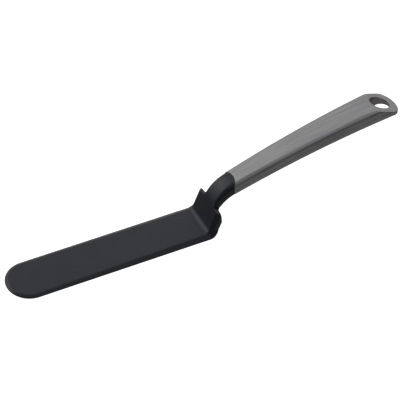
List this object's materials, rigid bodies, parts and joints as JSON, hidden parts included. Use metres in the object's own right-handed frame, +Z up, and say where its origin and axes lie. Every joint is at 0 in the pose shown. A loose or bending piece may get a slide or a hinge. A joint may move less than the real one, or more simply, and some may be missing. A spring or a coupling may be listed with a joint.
{
  "type": "offset spatula",
  "caption": "Offset icing spatula: flat black nylon blade, cranked neck with a pair of small ears, arched hollow steel handle with a sloping end and a round hanging hole.",
  "frame": {"origin": "middle of the tool's length and width, at the height of the blade's flat underside", "axes": "+X from the blade's tip towards the handle's end, +Y across the blade, +Z up from the underside"},
  "size_m": [0.327, 0.0398, 0.0685],
  "materials": {
    "black_nylon": "satin moulded nylon",
    "brushed_steel": "satin, brushed along the handle",
    "collar_steel": "drawn tube, smooth",
    "sleeve_plastic": "plain moulded polypropylene"
  },
  "bodies": {
    "root": {"blade_head": "black_nylon", "handle_upper_shell": "brushed_steel", "handle_lower_shell": "brushed_steel", "hanging_hole_collar": "collar_steel", "tang_sleeve": "sleeve_plastic"}
  },
  "joints": []
}
